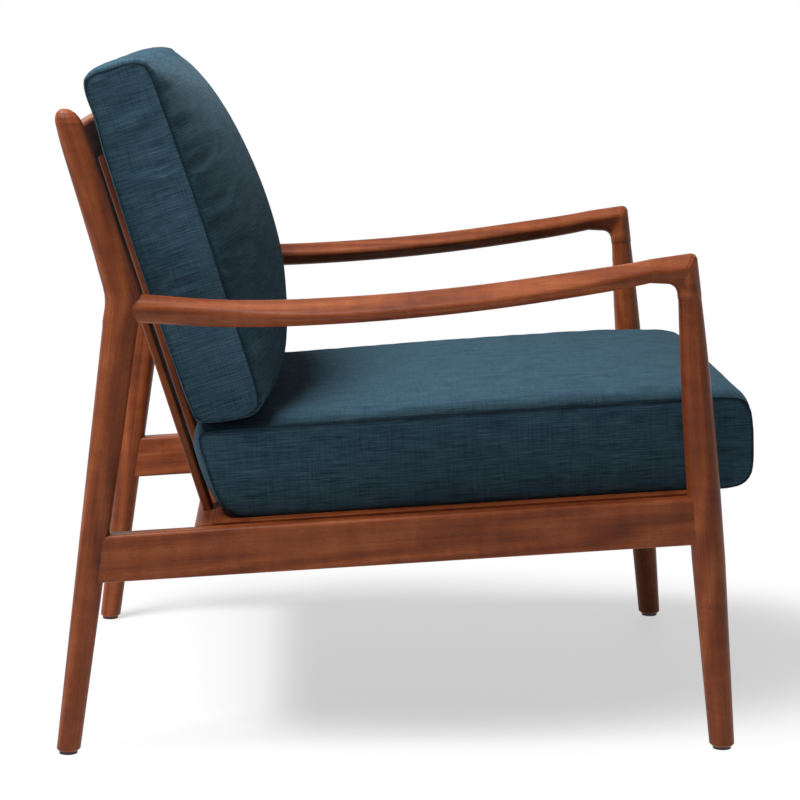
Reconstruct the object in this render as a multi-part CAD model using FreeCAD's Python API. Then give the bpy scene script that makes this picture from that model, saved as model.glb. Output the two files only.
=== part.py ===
import FreeCAD, Part
import math
import os
from FreeCAD import Vector

# A wooden lounge armchair with a slatted, reclining back and two loose cushions.
# Millimetres. +Z is up, the sitter faces -Y and X runs across the chair. Right is the sitter's right, -X.
# The origin is on the floor, under the middle of the box that holds the whole chair.

# Feet and slopes. Places given as behind or ahead are measured from the middle of the four feet.
side_frame_pitch = 650.0
foot_spread = 756.7
feet_behind_middle = 10.35
seat_rise_deg = 3.45
back_lean_deg = 17.57
rail_top_height = 277.0

# Glides nailed under the feet
glide_diameter = 21.0
glide_thickness = 3.0
nail_diameter = 2.5
nail_length = 16.0

# Front legs, turned
leg_foot_diameter = 28.4
leg_belly_diameter = 38.4
leg_waist_diameter = 34.6
leg_top_diameter = 26.2
leg_belly_start = 222.0
leg_belly_length = 82.0
leg_top_height = 526.0
leg_toe_out = 48.2
foot_chamfer = 3.0
leg_tenon_diameter = 16.0
leg_tenon_length = 22.0

# Rear posts, bent at the arm
elbow_height = 529.0
elbow_behind = 307.5
post_top_height = 738.0
post_upper_slope = 0.3014
post_foot_width = 27.3
post_elbow_width = 40.6
post_shoulder_width = 36.2
post_shoulder_rise = 62.0
post_top_width = 31.0
post_foot_thickness = 27.0
post_elbow_thickness = 35.0
post_top_thickness = 27.0
post_top_dome = 24.0
elbow_blend = 34.0
elbow_softening = 1.2

# Armrests
arm_rear_diameter = 30.5
arm_front_width = 28.0
arm_paddle_width = 52.0
arm_paddle_drift = 4.0
arm_thickness = 29.0
arm_rear_drop = 13.0
arm_low_drop = 19.6
arm_low_ahead = -149.0
arm_front_rise = 30.6
arm_knuckle_length = 46.0
knuckle_inner_radius = 14.0
knuckle_shoulder = 4.0
knuckle_rise = 50.6
knuckle_nose = 7.9
knuckle_tip_radius = 7.0
arm_dowel_diameter = 12.0
arm_dowel_length = 52.0

# Seat rails
rail_height = 54.5
rail_thickness = 25.0
rail_top_round = 5.0
rail_bottom_round = 3.0
cross_rail_height = 44.0
cross_rail_thickness = 22.0
tenon_thickness = 10.0
tenon_height = 34.0
tenon_past_axis = 6.0
tenon_gap = 1.0

# Back
back_foot_behind = 214.6
lower_back_rail_lead = 3.5
crest_below_post_top = 18.5
crest_height = 45.8
crest_thickness = 24.0
crest_proud = 6.0
crest_round = 6.0
slat_count = 4
slat_pitch = 138.0
slat_width = 40.0
slat_thickness = 10.0
slat_round = 3.0
slat_tenon_width = 30.0
slat_tenon_thickness = 6.0
slat_tenon_length = 14.0
dowel_diameter = 8.0
dowel_length = 32.0
dowel_spread = 22.0

# Seat deck
deck_proud = 1.3
deck_thickness = 18.0
deck_play = 0.5
deck_side_width = 45.0
deck_front_width = 50.0
deck_rear_width = 57.0
deck_dowel_diameter = 6.0
deck_dowel_length = 40.0
strap_thickness = 1.5
strap_width = 50.0
strap_lap = 20.0
long_strap_count = 5
cross_strap_count = 4
staple_wire = 1.0
staple_width = 10.0
staple_depth = 8.0
staple_inset = 7.0
cleat_size = 18.0
block_leg = 42.0
block_height = 26.0

# Wood screws
screw_diameter = 4.0
screw_head_diameter = 8.0
screw_head_height = 2.6
cleat_screw_length = 34.0
deck_screw_length = 29.0
block_screw_length = 40.0

# Cushions
cushion_width = 580.0
cushion_rest_gap = 0.3
cover_thickness = 2.0
wrap_thickness = 12.0
layer_gap = 0.3
side_draw_in = 4.0
zip_width = 20.0
zip_length = 460.0
zip_thickness = 1.2
zip_inset = 40.0

# Seat cushion
seat_slat_clearance = 2.0
seat_front_reach = 415.0
seat_side_height = 102.5
seat_crown = 16.5
seat_front_bulge = 6.5
seat_rear_lean = 22.0
seat_rear_bulge = 3.0
seat_corner_round = 14.0

# Back cushion
back_cushion_top = 527.0
back_top_crown = 4.0
back_side_depth = 84.0
back_front_crown = 66.0
back_rear_crown = 15.0
back_rear_relief = 1.2
back_foot_height = 112.2
back_corner_round = 17.0
back_foot_roll = 38.0
back_top_roll = 28.0
back_top_drop = 4.0

# One overrun for all cuts and stock that is trimmed afterwards
overrun = 10.0

side_x = side_frame_pitch / 2
across = Vector(1, 0, 0)
backward = Vector(0, 1, 0)
upward = Vector(0, 0, 1)
seat_frame = FreeCAD.Placement(
    Vector(0, feet_behind_middle, rail_top_height), FreeCAD.Rotation(across, -seat_rise_deg)
)
back_foot_level = rail_top_height - back_foot_behind * math.tan(math.radians(seat_rise_deg))
back_frame = FreeCAD.Placement(
    Vector(0, feet_behind_middle + back_foot_behind, back_foot_level),
    FreeCAD.Rotation(across, -back_lean_deg),
)
back_to_seat = math.radians(back_lean_deg - seat_rise_deg)


def moved(shape, frame):
    """A copy of a shape built in the seat's or the back's own frame, put in its place on the chair."""
    result = shape.copy()
    result.Placement = frame.multiply(shape.Placement)
    return result


def mirrored(shape):
    """The same piece for the other side of the chair."""
    return shape.mirror(Vector(0, 0, 0), across)


def bar(low, high):
    """A block between two opposite corners."""
    size = high - low
    return Part.makeBox(size.x, size.y, size.z, low)


def long_edges(shape, direction, test):
    """The edges of a block that run along a direction and whose middle passes a test."""
    chosen = []
    for edge in shape.Edges:
        first, last = edge.Vertexes[0].Point, edge.Vertexes[-1].Point
        if abs((last - first).normalize().dot(direction)) > 0.999 and test((first + last) / 2):
            chosen.append(edge)
    return chosen


def rounded_outline(corners, radii):
    """A closed outline whose corners are rounded, each by its own radius."""
    starts, middles, ends = [], [], []
    count = len(corners)
    for i, corner in enumerate(corners):
        before = (corners[i - 1] - corner).normalize()
        after = (corners[(i + 1) % count] - corner).normalize()
        half = before.getAngle(after) / 2
        reach = radii[i] / math.tan(half)
        inward = (before + after).normalize()
        centre = corner + inward * (radii[i] / math.sin(half))
        starts.append(corner + before * reach)
        middles.append(centre - inward * radii[i])
        ends.append(corner + after * reach)
    edges = []
    for i in range(count):
        edges.append(Part.Arc(starts[i], middles[i], ends[i]).toShape())
        edges.append(Part.LineSegment(ends[i], starts[(i + 1) % count]).toShape())
    return Part.Wire(edges)


def bend(start, corner, end):
    """A soft corner between two points."""
    middle = (start + end) / 2
    return Part.Arc(start, middle + (corner - middle) * (math.sqrt(2) - 1), end).toShape()


def line(start, end):
    return Part.LineSegment(start, end).toShape()


def curve(start, middle, end):
    return Part.Arc(start, middle, end).toShape()


def turned(profile, frame):
    """A round piece turned about its own Z axis from points of radius and height."""
    points = [Vector(radius, 0, height) for radius, height in profile]
    outline = Part.makePolygon(points + [points[0]])
    return moved(Part.Face(outline).revolve(Vector(0, 0, 0), upward, 360), frame)


def peg(start, direction, diameter, length):
    return Part.makeCylinder(diameter / 2, length, start, direction)


def wood_screw(head, direction, length):
    """A countersunk screw whose flat head lies at the given point."""
    frame = FreeCAD.Placement(head, FreeCAD.Rotation(upward, direction))
    shank = screw_diameter / 2
    profile = [
        (0, 0),
        (screw_head_diameter / 2, 0),
        (shank, screw_head_height),
        (shank, length - screw_diameter),
        (0, length),
    ]
    return turned(profile, frame)


def share_of(start, end, share):
    return start + (end - start) * share


# Front legs: a turned spindle that leans forward to the foot, fullest where the seat rails enter it.

leg_foot = Vector(-side_x, feet_behind_middle - foot_spread / 2, glide_thickness)
leg_top = Vector(-side_x, leg_foot.y + leg_toe_out, leg_top_height)
leg_axis = leg_top - leg_foot
leg_direction = Vector(leg_axis).normalize()
leg_forward = Vector(0, -leg_direction.z, leg_direction.y)
leg_frame = FreeCAD.Placement(leg_foot, FreeCAD.Rotation(upward, leg_direction))


def front_leg_blank():
    """The turned shape, run past the floor and then cut level, with its foot chamfered."""
    belly_end = leg_belly_start + leg_belly_length
    waist_height = (belly_end + leg_axis.Length) / 2
    below = -overrun
    foot = Vector(leg_foot_diameter / 2, 0, below)
    belly_low = Vector(leg_belly_diameter / 2, 0, leg_belly_start)
    belly_high = Vector(leg_belly_diameter / 2, 0, belly_end)
    waist = Vector(leg_waist_diameter / 2, 0, waist_height)
    shoulder = Vector(leg_top_diameter / 2, 0, leg_axis.Length)
    edges = [
        line(Vector(0, 0, below), foot),
        line(foot, belly_low),
        line(belly_low, belly_high),
        curve(belly_high, waist, shoulder),
        line(shoulder, Vector(0, 0, leg_axis.Length)),
        line(Vector(0, 0, leg_axis.Length), Vector(0, 0, below)),
    ]
    blank = moved(Part.Face(Part.Wire(edges)).revolve(Vector(0, 0, 0), upward, 360), leg_frame)
    reach = Vector(leg_belly_diameter, leg_belly_diameter, 0)
    floor_stock = bar(leg_foot - reach - upward * (overrun * 3), leg_foot + reach)
    blank = blank.cut(floor_stock)
    rims = [edge for edge in blank.Edges if edge.BoundBox.ZMax < glide_thickness + foot_chamfer / 2]
    return blank.makeChamfer(foot_chamfer, rims)


def leg_tenon():
    return peg(leg_top - leg_direction, leg_direction, leg_tenon_diameter, leg_tenon_length)


# Rear posts: one bent piece from the floor to the top of the back, oval in section.

post_foot = Vector(-side_x, feet_behind_middle + foot_spread / 2, glide_thickness)
post_elbow = Vector(-side_x, feet_behind_middle + elbow_behind, elbow_height)
post_top = post_elbow + Vector(0, post_upper_slope, 1) * (post_top_height - elbow_height)


def post_section(centre, width, thickness):
    corner_share = 0.46
    half_x, half_y = thickness / 2, width / 2
    corners = [
        centre + Vector(-half_x, -half_y, 0),
        centre + Vector(half_x, -half_y, 0),
        centre + Vector(half_x, half_y, 0),
        centre + Vector(-half_x, half_y, 0),
    ]
    return rounded_outline(corners, [min(width, thickness) * corner_share] * len(corners))


def rear_post_foot():
    """The straight lower part, from the chamfered foot to just under the elbow."""
    height = elbow_height - glide_thickness
    # share of the height up to the elbow, share of the foot's chamfer taken off
    sections = []
    for height_share, chamfer_share in ((0, 1), (foot_chamfer / height, 0), (1 - elbow_blend / height, 0)):
        centre = share_of(post_foot, post_elbow, height_share)
        width = share_of(post_foot_width, post_elbow_width, height_share) - foot_chamfer * 2 * chamfer_share
        thickness = share_of(post_foot_thickness, post_elbow_thickness, height_share)
        sections.append(post_section(centre, width, thickness - foot_chamfer * 2 * chamfer_share))
    return Part.makeLoft(sections, True, True)


def rear_post_bend():
    """The elbow and the upper part, up to the start of the dome."""
    sections = []
    height = elbow_height - glide_thickness
    for below_share in (1.0, 0.5):
        height_share = 1 - elbow_blend * below_share / height
        centre = share_of(post_foot, post_elbow, height_share)
        width = share_of(post_foot_width, post_elbow_width, height_share)
        thickness = share_of(post_foot_thickness, post_elbow_thickness, height_share)
        sections.append(post_section(centre, width, thickness))
    elbow = post_elbow + backward * elbow_softening
    sections.append(post_section(elbow, post_elbow_width, post_elbow_thickness))
    upper_height = post_top_height - elbow_height
    shoulder_share = post_shoulder_rise / upper_height
    dome_share = 1 - post_top_dome / upper_height
    # share of the way from elbow to top, share of the width lost at the shoulder, share lost above it
    narrowing = (
        (elbow_blend / 2 / upper_height, 0.22, 0.0),
        (shoulder_share * 0.6, 0.62, 0.0),
        (shoulder_share, 1.0, 0.0),
        (share_of(shoulder_share, dome_share, 0.4), 1.0, 0.3),
        (share_of(shoulder_share, dome_share, 0.75), 1.0, 0.48),
        (dome_share, 1.0, 1.0),
    )
    for height_share, shoulder_loss, top_loss in narrowing:
        centre = share_of(post_elbow, post_top, height_share)
        width = share_of(post_elbow_width, post_shoulder_width, shoulder_loss)
        width = share_of(width, post_top_width, top_loss)
        thickness = share_of(post_elbow_thickness, post_top_thickness, height_share)
        sections.append(post_section(centre, width, thickness))
    return Part.makeLoft(sections, True, False)


def rear_post_dome():
    upper_height = post_top_height - elbow_height
    sections = []
    # share of the dome's height, share of the width left there
    dome = ((0.0, 1.0), (0.38, 0.96), (0.62, 0.85), (0.82, 0.66), (0.95, 0.4), (1.0, 0.2))
    for rise_share, width_share in dome:
        height_share = 1 - post_top_dome * (1 - rise_share) / upper_height
        centre = share_of(post_elbow, post_top, height_share)
        thickness = share_of(post_elbow_thickness, post_top_thickness, height_share)
        sections.append(post_section(centre, post_top_width * width_share, thickness * width_share))
    return Part.makeLoft(sections, True, True)


def rear_post_blank():
    return rear_post_foot().fuse([rear_post_bend(), rear_post_dome()]).removeSplitter()


# Armrests: a sculpted paddle, round where it meets the post, that turns down over the front leg.

def arm_outline(top, bottom, width, centre_x, crease):
    """One section between a top and a bottom point: nearly round with no crease, a leaf with full crease."""
    height = (top - bottom).Length
    # side and rise of each corner as shares of half the size, first for the round, then for the leaf shape
    round_shares = ((-0.06, 1.0), (0.95, 0.25), (0.55, -0.95), (-0.6, -0.95), (-0.95, 0.25))
    leaf_shares = ((-0.24, 1.0), (1.0, -0.3), (0.32, -1.0), (-0.5, -1.0), (-1.0, 0.1))
    radius_shares = [share_of(0.42, leaf, crease) for leaf in (0.26, 0.18, 0.3, 0.3, 0.22)]
    radii = [min(width, height) * share for share in radius_shares]
    corners = []
    for (round_side, round_rise), (leaf_side, leaf_rise) in zip(round_shares, leaf_shares):
        side = -share_of(round_side, leaf_side, crease) * width / 2
        corners.append(Vector(side, 0, share_of(round_rise, leaf_rise, crease) * height / 2))
    drawn = rounded_outline(corners, radii).BoundBox
    for corner in corners:
        corner.x = corner.x * width / drawn.XLength
        corner.z = corner.z * height / drawn.ZLength
    outline = rounded_outline(corners, radii)
    outline.translate(-outline.BoundBox.Center)
    tilt = FreeCAD.Rotation(upward, top - bottom)
    middle = (top + bottom) / 2
    return moved(outline, FreeCAD.Placement(Vector(-centre_x, middle.y, middle.z), tilt))


arm_rear_height = elbow_height - arm_rear_drop
arm_low_height = elbow_height - arm_low_drop
arm_front_height = leg_top_height + arm_front_rise
arm_knuckle_start = foot_spread / 2 - leg_toe_out - arm_knuckle_length


def arm_height(ahead):
    """Height of the arm's middle line: level near the post, rising to the front."""
    if ahead < arm_low_ahead:
        share = (arm_low_ahead - ahead) / (arm_low_ahead + elbow_behind)
        return share_of(arm_low_height, arm_rear_height, share * share)
    share = (ahead - arm_low_ahead) / (arm_knuckle_start - arm_low_ahead)
    bend_share = 0.28
    return share_of(arm_low_height, arm_front_height, share * bend_share + share * share * (1 - bend_share))


def arm_section(way_share, extra_share, crease, thickness_share):
    ahead = share_of(-elbow_behind, arm_knuckle_start, way_share)
    plain_width = share_of(arm_rear_diameter, arm_front_width, way_share)
    width = share_of(plain_width, arm_paddle_width, extra_share)
    centre = Vector(0, feet_behind_middle - ahead, arm_height(ahead))
    half = upward * (arm_thickness * thickness_share / 2)
    return arm_outline(centre + half, centre - half, width, side_x + arm_paddle_drift * extra_share, crease)


arm_front_station = (1.0, 0.06, 0.7, 0.893)


def arm_paddle():
    # share of the way forward, of the paddle's extra width, of the crease's sharpness, of the thickness
    stations = (
        (0.0, 0.0, 0.0, 1.05),
        (0.12, 0.06, 0.15, 1.045),
        (0.25, 0.34, 0.6, 1.0),
        (0.38, 0.76, 0.95, 0.985),
        (0.53, 1.0, 1.0, 0.965),
        (0.7, 0.88, 1.0, 0.955),
        (0.86, 0.5, 0.9, 0.945),
        arm_front_station,
    )
    return Part.makeLoft([arm_section(*station) for station in stations], True, False)


def arm_knuckle():
    """The corner that turns down over the leg, swept round the small radius inside it."""
    sections = [arm_section(*arm_front_station)]
    start_rise = arm_front_height + arm_thickness * arm_front_station[-1] / 2
    start_top = Vector(0, feet_behind_middle - arm_knuckle_start, start_rise)
    tip = Vector(0, leg_top.y - knuckle_nose, leg_top_height + knuckle_rise)
    tip_centre = tip + Vector(0, knuckle_tip_radius, -knuckle_tip_radius)
    front = Vector(0, leg_top.y, leg_top_height) + leg_forward * (leg_top_diameter / 2)
    rear = Vector(0, leg_top.y, leg_top_height) - leg_forward * (leg_top_diameter / 2)
    shoulder = Vector(0, leg_direction.y, leg_direction.z) * knuckle_shoulder
    inner_centre = rear + shoulder + backward * knuckle_inner_radius

    def round_corner(centre, radius, degrees):
        angle = math.radians(degrees)
        return centre + Vector(0, -math.sin(angle), math.cos(angle)) * radius

    # degrees round the inside corner, outer point of the section, sharpness of the crease
    tip_start = round_corner(tip_centre, knuckle_tip_radius, 0)
    tip_end = round_corner(tip_centre, knuckle_tip_radius, 80)
    stations = (
        (12, share_of(start_top, tip_start, 0.35), 0.7),
        (26, share_of(start_top, tip_start, 0.7), 0.65),
        (38, tip_start, 0.55),
        (45, round_corner(tip_centre, knuckle_tip_radius, 40), 0.5),
        (52, tip_end, 0.45),
        (68, share_of(tip_end, front, 0.4), 0.25),
        (90, front + shoulder, 0.0),
    )
    for degrees, outer, crease in stations:
        inner = round_corner(inner_centre, knuckle_inner_radius, degrees)
        sections.append(arm_outline(outer, inner, arm_front_width, side_x, crease))
    sections.append(arm_outline(front, rear, leg_top_diameter, side_x, 0.0))
    return Part.makeLoft(sections, True, True)


def armrest_blank():
    return arm_paddle().fuse(arm_knuckle()).removeSplitter()


def arm_dowel():
    start = Vector(-side_x, post_elbow.y + arm_dowel_diameter / 2, arm_rear_height)
    return peg(start, -backward, arm_dowel_diameter, arm_dowel_length)


# Seat rails, in the seat's own frame: y runs backward and z up from the top of the side rails.

def on_rail_middle(start, end):
    """Where a leg or post crosses the middle of the side rail, in the seat's frame."""
    inverse = seat_frame.inverse()
    low, high = inverse.multVec(start), inverse.multVec(end)
    share = (-rail_height / 2 - low.z) / (high.z - low.z)
    return share_of(low, high, share)


rail_front = on_rail_middle(leg_foot, leg_top)
rail_rear = on_rail_middle(post_foot, post_elbow)


def side_rail_blank():
    low = Vector(-side_x - rail_thickness / 2, rail_front.y, -rail_height)
    high = Vector(-side_x + rail_thickness / 2, rail_rear.y, 0)
    block = bar(low, high)
    top = long_edges(block, backward, lambda point: point.z > -rail_height / 2)
    block = block.makeFillet(rail_top_round, top)
    bottom = long_edges(block, backward, lambda point: point.z < -rail_height + rail_bottom_round / 2)
    return moved(block.makeFillet(rail_bottom_round, bottom), seat_frame)


def side_rail_tenons():
    half_x, half_z = tenon_thickness / 2, tenon_height / 2
    past = tenon_past_axis
    tenons = []
    for place, inward in ((rail_front, 1), (rail_rear, -1)):
        reach = leg_belly_diameter * inward
        ends = sorted((place.y - past * inward, place.y + reach))
        low = Vector(-side_x - half_x, ends[0], place.z - half_z)
        high = Vector(-side_x + half_x, ends[1], place.z + half_z)
        tenons.append(moved(bar(low, high), seat_frame))
    return tenons


def front_rail_blank():
    half_y = cross_rail_thickness / 2
    low = Vector(-side_x, rail_front.y - half_y, -cross_rail_height)
    high = Vector(side_x, rail_front.y + half_y, 0)
    block = bar(low, high)
    edges = long_edges(block, across, lambda point: True)
    return moved(block.makeFillet(rail_bottom_round, edges), seat_frame)


def front_rail_tenon():
    """One tenon along the whole rail, which stops short of the side rails' tenons in both legs."""
    reach = side_x - tenon_thickness / 2 - tenon_gap
    half_y, half_z = tenon_thickness / 2, tenon_height / 2
    middle_z = -cross_rail_height / 2
    low = Vector(-reach, rail_front.y - half_y, middle_z - half_z)
    high = Vector(reach, rail_front.y + half_y, middle_z + half_z)
    return moved(bar(low, high), seat_frame)


lower_rail_front = back_foot_behind - lower_back_rail_lead
rail_inner_x = side_x - rail_thickness / 2


def lower_back_rail_blank():
    low = Vector(-rail_inner_x, lower_rail_front, -cross_rail_height)
    high = Vector(rail_inner_x, lower_rail_front + cross_rail_thickness, 0)
    block = bar(low, high)
    edges = long_edges(block, across, lambda point: point.y > back_foot_behind)
    return moved(block.makeFillet(rail_top_round, edges), seat_frame)


def lower_back_dowels():
    """Two dowels at each end, from the lower back rail into the side rails."""
    dowels = []
    for side in (-1, 1):
        for level in (-1, 1):
            x = side * (rail_inner_x - dowel_length / 2)
            y = lower_rail_front + cross_rail_thickness / 2
            z = -cross_rail_height / 2 + level * dowel_spread / 2
            dowel = peg(Vector(x, y, z), across * side, dowel_diameter, dowel_length)
            dowels.append(moved(dowel, seat_frame))
    return dowels


# Back: crest rail and slats, in the back's own frame: y runs backward from the slats' faces, z along them.

back_lean = math.radians(back_lean_deg)
crest_top = (post_top_height - crest_below_post_top - back_foot_level) / math.cos(back_lean)
crest_bottom = crest_top - crest_height


def crest_rail_blank():
    low = Vector(-side_x, -crest_proud, crest_bottom)
    high = Vector(side_x, crest_thickness - crest_proud, crest_top)
    block = bar(low, high)
    return moved(block.makeFillet(crest_round, long_edges(block, across, lambda point: True)), back_frame)


def crest_dowels():
    """Two dowels at each end, from the crest rail into the posts."""
    dowels = []
    inner_x = side_x - post_top_thickness / 2
    for side in (-1, 1):
        for level in (-1, 1):
            x = side * (inner_x - dowel_length / 2)
            y = crest_thickness / 2 - crest_proud
            z = crest_bottom + crest_height / 2 + level * dowel_spread / 2
            dowel = peg(Vector(x, y, z), across * side, dowel_diameter, dowel_length)
            dowels.append(moved(dowel, back_frame))
    return dowels


slat_places = [slat_pitch * (i - (slat_count - 1) / 2) for i in range(slat_count)]


def slat_blank(x):
    """A slat that runs a little into both rails, to be trimmed to them."""
    low = Vector(x - slat_width / 2, 0, -overrun)
    high = Vector(x + slat_width / 2, slat_thickness, crest_bottom + overrun)
    block = bar(low, high)
    return moved(block.makeFillet(slat_round, long_edges(block, upward, lambda point: True)), back_frame)


def slat_tenon(x):
    low_y = (slat_thickness - slat_tenon_thickness) / 2
    low = Vector(x - slat_tenon_width / 2, low_y, -slat_tenon_length)
    high = Vector(x + slat_tenon_width / 2, low_y + slat_tenon_thickness, crest_bottom + slat_tenon_length)
    return moved(bar(low, high), back_frame)


# Seat deck: a drop-in frame with elastic webbing, carried by cleats and corner blocks inside the rails.

deck_half_x = rail_inner_x - deck_play
deck_front_y = rail_front.y + cross_rail_thickness / 2 + deck_play
deck_rear_y = lower_rail_front - deck_play
deck_bottom_z = deck_proud - deck_thickness
opening_half_x = deck_half_x - deck_side_width
opening_front_y = deck_front_y + deck_front_width
opening_rear_y = deck_rear_y - deck_rear_width
long_strap_z = deck_proud - staple_wire - strap_thickness
cross_strap_z = long_strap_z - strap_thickness


def strap_places(low, high, count):
    pitch = (high - low) / count
    return [low + pitch * (i + 0.5) for i in range(count)]


long_strap_places = strap_places(-opening_half_x, opening_half_x, long_strap_count)
cross_strap_places = strap_places(opening_front_y, opening_rear_y, cross_strap_count)


def deck_members():
    """Front and rear members run the full width, and the side members fit between them."""
    lap = strap_lap + deck_play
    front = bar(
        Vector(-deck_half_x, deck_front_y, deck_bottom_z),
        Vector(deck_half_x, opening_front_y, deck_proud),
    )
    front_rebate = bar(
        Vector(-opening_half_x, opening_front_y - lap, long_strap_z),
        Vector(opening_half_x, opening_front_y + overrun, deck_proud + overrun),
    )
    rear = bar(
        Vector(-deck_half_x, opening_rear_y, deck_bottom_z),
        Vector(deck_half_x, deck_rear_y, deck_proud),
    )
    rear_rebate = bar(
        Vector(-opening_half_x, opening_rear_y - overrun, long_strap_z),
        Vector(opening_half_x, opening_rear_y + lap, deck_proud + overrun),
    )
    side = bar(
        Vector(-deck_half_x, opening_front_y, deck_bottom_z),
        Vector(-opening_half_x, opening_rear_y, deck_proud),
    )
    side_rebate = bar(
        Vector(-opening_half_x - lap, opening_front_y - overrun, cross_strap_z),
        Vector(-opening_half_x + overrun, opening_rear_y + overrun, deck_proud + overrun),
    )
    side = side.cut(side_rebate)
    return front.cut(front_rebate), rear.cut(rear_rebate), side, mirrored(side)


def deck_dowels():
    """Two dowels in each corner of the deck frame."""
    dowels = []
    middle_x = deck_half_x - deck_side_width / 2
    z = deck_bottom_z + deck_thickness * 0.4
    for side in (-1, 1):
        for offset in (-1, 1):
            x = side * middle_x + offset * deck_side_width / 4
            for joint_y in (opening_front_y, opening_rear_y):
                start = Vector(x, joint_y - deck_dowel_length / 2, z)
                dowels.append(peg(start, backward, deck_dowel_diameter, deck_dowel_length))
    return dowels


def straps():
    """Long straps over cross straps, each lapping the deck frame at both ends."""
    half = strap_width / 2
    found = {}
    for i, x in enumerate(long_strap_places):
        low = Vector(x - half, opening_front_y - strap_lap, long_strap_z)
        high = Vector(x + half, opening_rear_y + strap_lap, long_strap_z + strap_thickness)
        found["strap_long_%d" % (i + 1)] = bar(low, high)
    for i, y in enumerate(cross_strap_places):
        low = Vector(-opening_half_x - strap_lap, y - half, cross_strap_z)
        high = Vector(opening_half_x + strap_lap, y + half, cross_strap_z + strap_thickness)
        found["strap_cross_%d" % (i + 1)] = bar(low, high)
    return found


def staple(centre, along):
    """A staple that lies on a strap, with its two legs driven through it."""
    half = along * (staple_width / 2)
    wire = staple_wire / 2
    thick = Vector(wire, wire, 0)
    crown = bar(centre - half - thick, centre + half + thick + upward * staple_wire)
    for end in (centre - half, centre + half):
        crown = crown.fuse(bar(end - thick - upward * staple_depth, end + thick + upward * staple_wire))
    return crown.removeSplitter()


def staples():
    """Two staples on each end of each strap."""
    found = []
    spread = strap_width / 4
    for x in long_strap_places:
        for y in (opening_front_y - staple_inset, opening_rear_y + staple_inset):
            for offset in (-spread, spread):
                found.append(staple(Vector(x + offset, y, long_strap_z + strap_thickness), across))
    for y in cross_strap_places:
        for side in (-1, 1):
            x = side * (opening_half_x + staple_inset)
            for offset in (-spread, spread):
                found.append(staple(Vector(x, y + offset, cross_strap_z + strap_thickness), backward))
    return found


cleat_front_y = deck_front_y + block_leg
cleat_rear_y = deck_rear_y - block_leg


def deck_cleat():
    """A strip along the side rail's inner face, between the corner blocks."""
    low = Vector(-rail_inner_x, cleat_front_y, deck_bottom_z - cleat_size)
    high = Vector(-rail_inner_x + cleat_size, cleat_rear_y, deck_bottom_z)
    return bar(low, high)


def corner_block(y, facing):
    """A triangular block in the corner between a side rail and a cross rail."""
    x = -rail_inner_x
    low = deck_bottom_z - block_height
    corners = [Vector(x, y, low), Vector(x + block_leg, y, low), Vector(x, y + block_leg * facing, low)]
    return Part.Face(Part.makePolygon(corners + [corners[0]])).extrude(upward * block_height)


block_front_y = rail_front.y + cross_rail_thickness / 2
block_rear_y = lower_rail_front
screw_rows = strap_places(cleat_front_y, cleat_rear_y, 3)


def deck_screws():
    """Screws driven up through the cleats into the deck's side members."""
    depth = deck_bottom_z - cleat_size
    return [wood_screw(Vector(-rail_inner_x + cleat_size / 2, y, depth), upward, deck_screw_length)
            for y in screw_rows]


def cleat_screws():
    """Screws from each cleat into its side rail, beside the ones that go up."""
    z = deck_bottom_z - cleat_size / 2
    x = -rail_inner_x + cleat_size
    return [wood_screw(Vector(x, y + cleat_size * 2, z), -across, cleat_screw_length) for y in screw_rows]


def block_screws():
    """One screw through each corner block into the side rail."""
    z = deck_bottom_z - block_height / 2
    step = block_leg / 4
    x = -rail_inner_x + block_leg - step
    found = []
    for y, facing in ((block_front_y, 1), (block_rear_y, -1)):
        found.append(wood_screw(Vector(x, y + facing * step, z), -across, block_screw_length))
    return found


# Cushions: boxed shapes with a crown, lofted across the chair, with the long sides drawn in a little.

seat_touch_height = deck_proud + seat_side_height - seat_corner_round
slats_at_rails = back_foot_behind / math.cos(math.radians(seat_rise_deg))
slats_at_touch = slats_at_rails + seat_touch_height * math.tan(back_to_seat)
seat_back_reach = slats_at_touch - seat_slat_clearance


def seat_section(x, fullness, inset):
    """The seat cushion's outline at one place across, fullness 0 at the side seams and 1 in the middle."""
    soft = seat_corner_round
    low = cushion_rest_gap + inset
    high = seat_side_height - inset
    front = -seat_front_reach + inset + seat_front_bulge
    rear = seat_back_reach - inset
    lean = seat_rear_lean
    bulge = seat_front_bulge * share_of(0.9, 1.2, fullness)
    crown_top = high + seat_crown * fullness + cushion_rest_gap
    points = [
        Vector(x, rear - lean - soft, low),
        Vector(x, front + soft, low),
        Vector(x, front, low + soft),
        Vector(x, front, high),
        Vector(x, rear - soft, high),
        Vector(x, rear, high - soft),
        Vector(x, rear - lean, low + soft),
    ]
    front_middle = Vector(x, front - bulge, (low + high) / 2)
    top_middle = Vector(x, (front + rear) / 2, crown_top)
    rear_middle = (points[5] + points[6]) / 2 + backward * seat_rear_bulge
    edges = [
        line(points[0], points[1]),
        bend(points[1], Vector(x, front, low), points[2]),
        curve(points[2], front_middle, points[3]),
        curve(points[3], top_middle, points[4]),
        bend(points[4], Vector(x, rear, high), points[5]),
        curve(points[5], rear_middle, points[6]),
        bend(points[6], Vector(x, rear - lean, low), points[0]),
    ]
    return Part.Wire(edges)


def back_foot_z(depth, inset):
    """Height along the back of the seat's top, at a depth in front of the slats."""
    at_slats = (back_foot_height + inset) / math.cos(back_to_seat)
    return at_slats - depth * math.tan(back_to_seat)


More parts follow.
